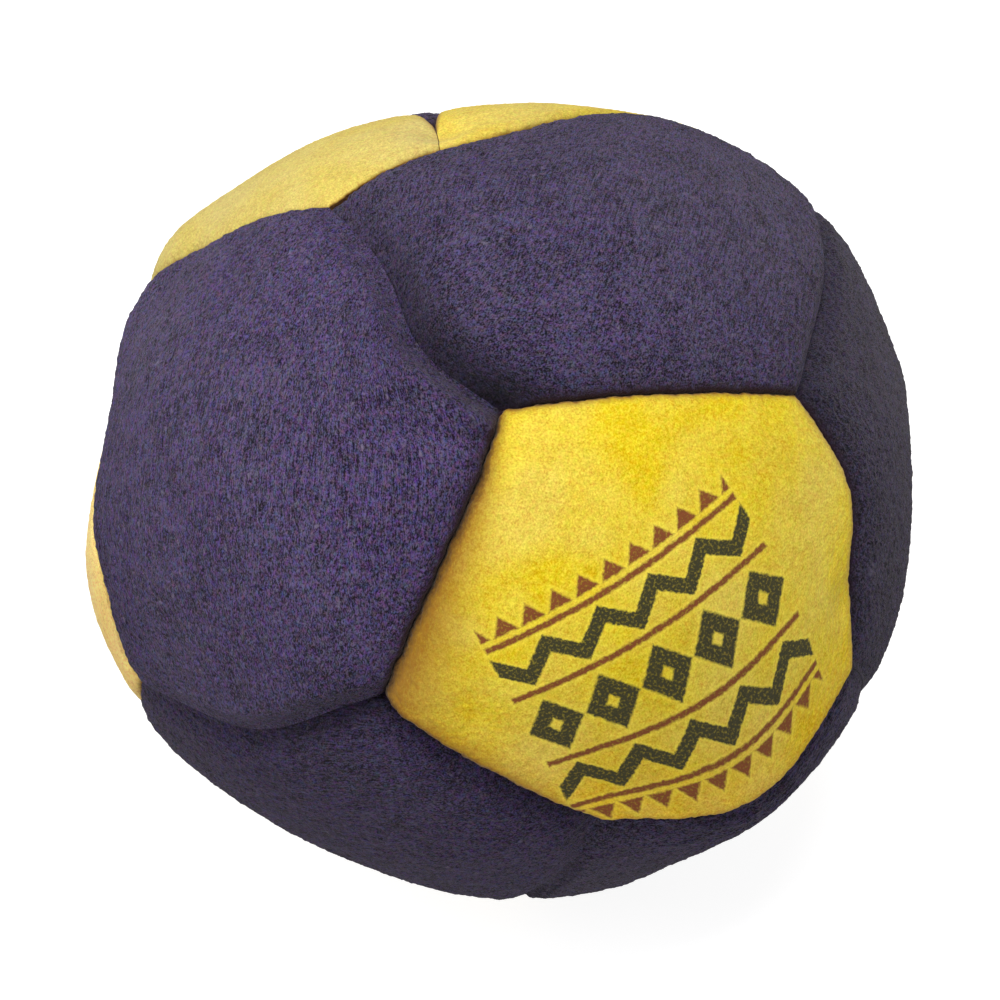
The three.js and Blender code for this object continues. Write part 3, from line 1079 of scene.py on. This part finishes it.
def suede_material(name, kind, colours, groups):
    """A suede material, with its nap, its panel's tone with its painted light and shade, and its
    seams' stain and painted shade. It returns the last colour too."""
    look = SUEDES[kind]
    material, tree, shader = blank_material(
        name, Roughness=0.95, Sheen_Weight=look.sheen, Sheen_Roughness=0.45,
        Sheen_Tint=(0.95, 0.9, 0.8, 1), Specular_IOR_Level=0.1,
    )
    place = attribute(tree, "nap_place", "Vector")
    patches = rescale(tree, speckle(tree, place, 1 / PATCH_SIZE), *PATCH_RANGE, *look.patches)
    inputs = {
        "Place": place, "Deep": getattr(colours, f"{kind}_deep"),
        "Pale": getattr(colours, f"{kind}_pale"), "Tuft Size": look.tuft,
        "Contrast": look.contrast, "Fleck": look.fleck, "Streaks": look.streaks,
        "Pills": look.pills,
    }
    nap = add_node(tree, "Group", inputs, node_tree=groups["suede_nap"]).outputs
    # Tone and fullness carry the suede's own colour with painted light and shade per panel, and the
    # painted shade in the hollows beside the seams
    inputs = {
        "Value": attribute(tree, "tone"), "Hue": attribute(tree, "hue"),
        "Saturation": calculate(tree, "MULTIPLY", attribute(tree, "fullness"), patches),
        "Color": nap["Color"],
    }
    toned = add_node(tree, "HueSaturation", inputs).outputs["Color"]
    # The seams' stain, partly painted shade, and the line of painted shade where the panels touch
    inputs = {
        "Color": toned, "Stain And Shade Colour": getattr(colours, f"{kind}_stain"), "Dark": colours.seam_crevice_shade,
        "Stain And Shade": attribute(tree, "stain_and_shade"), "Crevice Shade": attribute(tree, "crevice_shade"),
        "Strength": look.stain_and_shade_strength, "Place": place,
    }
    stained_and_shaded_colour = add_node(tree, "Group", inputs, node_tree=groups["seam_stain_and_shade"]).outputs["Color"]
    tree.links.new(stained_and_shaded_colour, shader.inputs["Base Color"])
    add_bump(tree, shader, nap["Height"], look.bump, BUMP_DEPTH)
    return material, tree, shader, stained_and_shaded_colour


def print_place(tree):
    """Places on the print in millimetres: flat, and then across and up from its middle, strayed a
    little as ink does."""
    place = add_node(tree, "UVMap", uv_map="print_map").outputs["UV"]
    inputs = {0: place, "Scale": 1 / MM}
    place = add_node(tree, "VectorMath", inputs, operation="SCALE").outputs[0]
    wander = speckle(tree, place, PRINT_STRAY_SCALE, out="Color")
    shift = combine(tree, "SUBTRACT", wander, MIDDLE_GREY)
    moved = combine(tree, "MULTIPLY_ADD", shift, PRINT_STRAY, place)
    parts = add_node(tree, "SeparateXYZ", {0: moved}).outputs
    return place, parts["X"], calculate(tree, "ABSOLUTE", parts["Y"])


def diamond(tree, across, up, size):
    """How far inside a diamond of this half width and half height a place is."""
    step = partial(calculate, tree)
    reach = step("ADD", step("DIVIDE", across, size[0]), step("DIVIDE", up, size[1]))
    return step("MULTIPLY", step("SUBTRACT", 1.0, reach), min(size) * PRINT_DIAMOND_SHARE)


def stripe(tree, value, middle, half):
    """How far inside a stripe a value is."""
    off = calculate(tree, "ABSOLUTE", calculate(tree, "SUBTRACT", value, middle))
    return calculate(tree, "SUBTRACT", half, off)


def print_shapes(tree, across, up):
    """How far inside the dark shapes and the red-brown shapes of the print a place is."""
    step = partial(calculate, tree)
    beside = step("PINGPONG", across, PRINT_REPEAT / 2)
    body = diamond(tree, beside, up, PRINT_DIAMOND)
    eye = step("MULTIPLY", diamond(tree, beside, up, PRINT_EYE), -1.0)
    diamonds = step("MINIMUM", body, eye)
    slope = step("MULTIPLY", step("SUBTRACT", beside, PRINT_REPEAT / 4), PRINT_ZIGZAG_SLOPE)
    zigzag = stripe(tree, step("SUBTRACT", up, slope), PRINT_ZIGZAG_HEIGHT, PRINT_ZIGZAG_HALF)
    dark = step("MAXIMUM", diamonds, zigzag)
    rules = step("MAXIMUM", *(stripe(tree, up, rule, PRINT_RULE_HALF) for rule in PRINT_RULES))
    teeth_up = step("SUBTRACT", up, PRINT_TEETH_START)
    teeth_beside = step("PINGPONG", across, PRINT_REPEAT / 4)
    teeth = step("MINIMUM", diamond(tree, teeth_beside, teeth_up, PRINT_TEETH), teeth_up)
    red = step("MAXIMUM", rules, teeth)
    inside = step("SUBTRACT", PRINT_HALF_WIDTH, step("ABSOLUTE", across))
    return step("MINIMUM", dark, inside), step("MINIMUM", red, inside)


def printed_material(colours, groups):
    """The front panel's yellow suede with its print."""
    made = suede_material("yellow_suede_printed", "yellow", colours, groups)
    material, tree, shader, inked = made
    place, across, up = print_place(tree)
    dark, red = print_shapes(tree, across, up)
    grain = speckle(tree, place, PRINT_GRAIN_SCALE, 3.0)
    kept = rescale(tree, grain, *PRINT_KEPT)
    mottle = rescale(tree, grain, *PRINT_MOTTLE)
    for depth, ink in ((red, colours.line_ink), (dark, colours.ink)):
        halo = rescale(tree, depth, -PRINT_HALO, -PRINT_BLUR)
        halo = calculate(tree, "MULTIPLY", halo, PRINT_HALO_STRENGTH)
        inked = blend_colours(tree, halo, inked, colours.yellow_pale)
        mask = calculate(tree, "MULTIPLY", rescale(tree, depth, -PRINT_BLUR, PRINT_BLUR), kept)
        mottled = blend_colours(tree, mottle, ink, times_lighter(ink, PRINT_MOTTLE_TIMES))
        inked = blend_colours(tree, mask, inked, mottled)
    tree.links.new(inked, shader.inputs["Base Color"])
    return material


def thread_material(colours):
    """Waxed sewing thread, with a little fuzz."""
    material, tree, shader = blank_material(
        "waxed_thread", Roughness=0.55, Specular_IOR_Level=0.4
    )
    place = add_node(tree, "TexCoord").outputs["Object"]
    fuzz = speckle(tree, place, 1 / FUZZ_SIZE)
    tone = blend_colours(tree, fuzz, colours.thread, times_lighter(colours.thread, FUZZ_TIMES))
    tree.links.new(tone, shader.inputs["Base Color"])
    add_bump(tree, shader, fuzz, FUZZ_BUMP, FUZZ_DEPTH)
    return material


def pellet_material(colours):
    """Moulded plastic pellets, each a little different in tone."""
    material, tree, shader = blank_material(
        "moulded_pellets", Roughness=0.4, Specular_IOR_Level=0.5
    )
    place = add_node(tree, "TexCoord").outputs["Object"]
    cells = add_node(tree, "TexVoronoi", {"Vector": place, "Scale": 1 / PELLET_CELL})
    tone = add_node(tree, "RGBToBW", {0: cells.outputs["Color"]}).outputs[0]
    tone = rescale(tree, tone, *PELLET_TONES)
    dull = times_lighter(colours.pellet, PELLET_DULL)
    pellet = blend_colours(tree, tone, dull, colours.pellet)
    tree.links.new(pellet, shader.inputs["Base Color"])
    roughness = rescale(tree, speckle(tree, place, 1 / PELLET_GRAIN), *PELLET_ROUGHNESS)
    tree.links.new(roughness, shader.inputs["Roughness"])
    return material


class FOOTBAG_OT_suede_panels(bpy.types.Operator):
    """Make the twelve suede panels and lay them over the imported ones"""

    bl_idname = "footbag.suede_panels"
    bl_label = "Suede Panels"

    def execute(self, context):
        sizes, colours = context.scene.footbag_sizes, context.scene.footbag_colours
        groups = {"suede_nap": suede_group(), "seam_stain_and_shade": stain_and_shade_group()}
        materials = {
            kind: suede_material(f"{kind}_suede", kind, colours, groups)[0] for kind in SUEDES
        }
        printed = printed_material(colours, groups)
        for name, panel in PANELS.items():
            made = make_panel(name, sizes)
            made.data.materials.append(printed if name == "front" else materials[panel.suede])
            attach(made, "root")
            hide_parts(f"panel_{name}")
        return {"FINISHED"}


def seam_paths(sizes):
    """Each seam's packed thread, with the points that its thread lies along."""
    depth = raw_edge_depth(sizes) + THREAD_CLEARANCE + sizes.thread / 2
    radius = sizes.bag_radius - depth
    margin = THREAD_END_GAP / radius
    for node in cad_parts:
        if not node.startswith("thread_"):
            continue
        start, end = corners_of(*node.removeprefix("thread_").split("_to_"))
        axis = unit(np.cross(start, end))
        turns = np.linspace(margin, math.acos(start @ end) - margin, THREAD_STEPS)
        side = np.cross(axis, start)
        points = np.array([start * math.cos(t) + side * math.sin(t) for t in turns]) * radius
        yield node, rested(pushed(crept(points)), depth, sizes), axis


def plied_thread(node, points, axis, sizes):
    """A thread of twisted plies along these points."""
    curve = bpy.data.curves.new(f"sewn_{node}", "CURVE")
    curve.dimensions = "3D"
    curve.bevel_depth = sizes.thread * PLY_SHARE
    curve.bevel_resolution = 1
    curve.use_fill_caps = True
    middle = np.array((0, 0, rest_height(sizes)))
    for ply in range(THREAD_PLIES):
        spline = curve.splines.new("POLY")
        spline.points.add(len(points) - 1)
        for i, point in enumerate(points):
            turn = 2 * math.pi * (ply / THREAD_PLIES + PLY_TURNS * i / (len(points) - 1))
            up = unit(point - middle)
            aside = math.cos(turn) * up + math.sin(turn) * axis
            offset = aside * sizes.thread * (0.5 - PLY_SHARE)
            spline.points[i].co = (*(point + offset), 1)
    tube = bpy.data.objects.new(f"sewn_{node}", curve)
    mesh = bpy.data.meshes.new_from_object(tube)
    bpy.data.objects.remove(tube)
    bpy.data.curves.remove(curve)
    mesh.name = f"sewn_{node}"
    mesh.shade_smooth()
    return add_object(f"sewn_{node}", mesh)


class FOOTBAG_OT_seam_threads(bpy.types.Operator):
    """Make the twisted thread that runs inside each of the thirty seams"""

    bl_idname = "footbag.seam_threads"
    bl_label = "Seam Threads"

    def execute(self, context):
        sizes = context.scene.footbag_sizes
        material = thread_material(context.scene.footbag_colours)
        for node, points, axis in seam_paths(sizes):
            made = plied_thread(node, points, axis, sizes)
            made.data.materials.append(material)
            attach(made, "root")
            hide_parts(node)
        return {"FINISHED"}


def pellet_places(sizes):
    """Where the pellets lie before the bag settles: a close packing, shaken a little, that stays
    clear of the suede and threads."""
    shake = random.Random(PELLET_SEED)
    spacing = sizes.pellet * PELLET_PITCH
    layers = int(sizes.bag_radius / (spacing * LAYER_STEP)) + 1
    reach = int(sizes.bag_radius / spacing) + 2
    seam_depth = raw_edge_depth(sizes) + THREAD_CLEARANCE * 2 + sizes.thread
    normals = np.concatenate([outline_of(name).inward for name in PANELS])
    row = range(-reach, reach + 1)
    for k, j, i in product(range(-layers, layers + 1), row, row):
        shift = abs(k) % 2
        x = i + 0.5 * (j % 2) + 0.5 * shift
        spot = np.array((x, (j + shift / 3) * ROW_STEP, k * LAYER_STEP)) * spacing
        spot += [shake.uniform(-1, 1) * PELLET_SHAKE for _ in range(3)]
        near_seam = np.abs(normals @ spot).min() < sizes.suede + sizes.pellet / 2
        cover = seam_depth if near_seam else sizes.suede + THREAD_CLEARANCE
        if 0 < np.linalg.norm(spot) < sizes.bag_radius - cover - sizes.pellet / 2:
            yield spot


def pellet_mesh(spots, radius):
    """A ball at each place, made a batch at a time."""
    mesh = bpy.data.meshes.new("pellets")
    everything = bmesh.new()
    for start in range(0, len(spots), PELLET_BATCH):
        batch = bmesh.new()
        for spot in spots[start : start + PELLET_BATCH]:
            place = Matrix.Translation(spot)
            bmesh.ops.create_icosphere(batch, subdivisions=1, radius=radius, matrix=place)
        batch.to_mesh(mesh)
        batch.free()
        everything.from_mesh(mesh)
    everything.to_mesh(mesh)
    everything.free()
    mesh.shade_smooth()
    return mesh


class FOOTBAG_OT_pellet_fill(bpy.types.Operator):
    """Fill the bag with plastic pellets"""

    bl_idname = "footbag.pellet_fill"
    bl_label = "Pellet Fill"

    def execute(self, context):
        sizes, colours = context.scene.footbag_sizes, context.scene.footbag_colours
        radius = sizes.pellet / 2
        spots = pushed(np.array(list(pellet_places(sizes))))
        spots[:, 2] = np.maximum(spots[:, 2] + rest_height(sizes), PELLET_FLOOR + radius)
        pellets = add_object("pellets", pellet_mesh(spots, radius))
        pellets.data.materials.append(pellet_material(colours))
        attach(pellets, "root")
        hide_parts("pellet_fill")
        return {"FINISHED"}


def floor_material():
    """A plain white floor that keeps the bag's soft shadow."""
    material, tree, shader = blank_material(
        "white_floor", Roughness=0.9, Specular_IOR_Level=0.1, Emission_Color=WHITE,
        Base_Color=(FLOOR_GREY, FLOOR_GREY, FLOOR_GREY, 1),
    )
    glow = calculate(tree, "MULTIPLY", seen_rays(tree), FLOOR_GLOW)
    tree.links.new(glow, shader.inputs["Emission Strength"])
    return material


def white_world():
    """A world that lights softly and shows white."""
    world = bpy.data.worlds.new("soft_studio")
    world.use_nodes = True
    tree = world.node_tree
    back = tree.nodes["Background"]
    back.inputs["Color"].default_value = WHITE
    light = rescale(tree, seen_rays(tree), 0, 1, WORLD_LIGHT, 1.0)
    tree.links.new(light, back.inputs["Strength"])
    return world


def aimed(name, data, middle, azimuth, elevation, distance):
    """A lamp or a camera that stands round the bag and points at its middle."""
    made = add_object(name, data)
    made.location = middle + Vector(direction(azimuth, elevation)) * distance
    made.rotation_euler = (middle - made.location).to_track_quat("-Z", "Y").to_euler()
    return made


class FOOTBAG_OT_stage(bpy.types.Operator):
    """Set the floor, the white backdrop, the lamps and the camera"""

    bl_idname = "footbag.stage"
    bl_label = "Stage"

    def execute(self, context):
        scene = context.scene
        middle = Vector((0, 0, rest_height(scene.footbag_sizes)))
        bm = bmesh.new()
        bmesh.ops.create_grid(bm, x_segments=1, y_segments=1, size=FLOOR_SIZE / 2)
        mesh = bpy.data.meshes.new("floor")
        bm.to_mesh(mesh)
        bm.free()
        mesh.materials.append(floor_material())
        floor = add_object("floor", mesh)
        scene.world = white_world()
        for name, azimuth, elevation, distance, size, power in LAMPS:
            lamp = bpy.data.lights.new(name, "AREA")
            lamp.shape, lamp.size, lamp.energy = "DISK", size, power
            aimed(name, lamp, middle, azimuth, elevation, distance)
        camera = bpy.data.cameras.new("camera")
        camera.lens = CAMERA_LENS
        camera.shift_x, camera.shift_y = CAMERA_SHIFT
        scene.camera = aimed("camera", camera, middle, *CAMERA_PLACE)
        scene.view_settings.view_transform = "Standard"
        return {"FINISHED"}


class FOOTBAG_PT_sidebar(bpy.types.Panel):
    """The footbag's sizes, colours and makers"""

    bl_label = "Footbag"
    bl_idname = "FOOTBAG_PT_sidebar"
    bl_space_type = "VIEW_3D"
    bl_region_type = "UI"
    bl_category = "Footbag"

    def draw(self, context):
        for group in (context.scene.footbag_sizes, context.scene.footbag_colours):
            box = self.layout.box()
            for name in group.__annotations__:
                box.prop(group, name)
        for operator in OPERATORS:
            self.layout.operator(operator.bl_idname)


OPERATORS = (
    FOOTBAG_OT_suede_panels,
    FOOTBAG_OT_seam_threads,
    FOOTBAG_OT_pellet_fill,
    FOOTBAG_OT_stage,
)
CLASSES = (FootbagSizes, FootbagColours, *OPERATORS, FOOTBAG_PT_sidebar)


def register():
    """Adds the classes and the settings to Blender."""
    for cls in CLASSES:
        bpy.utils.register_class(cls)
    bpy.types.Scene.footbag_sizes = bpy.props.PointerProperty(type=FootbagSizes)
    bpy.types.Scene.footbag_colours = bpy.props.PointerProperty(type=FootbagColours)


def unregister():
    """Takes the classes and the settings out of Blender."""
    del bpy.types.Scene.footbag_colours
    del bpy.types.Scene.footbag_sizes
    for cls in reversed(CLASSES):
        bpy.utils.unregister_class(cls)


def main():
    """Builds the footbag and its stage."""
    register()
    bpy.ops.footbag.suede_panels()
    bpy.ops.footbag.seam_threads()
    bpy.ops.footbag.pellet_fill()
    bpy.ops.footbag.stage()


if __name__ == "__main__":
    main()
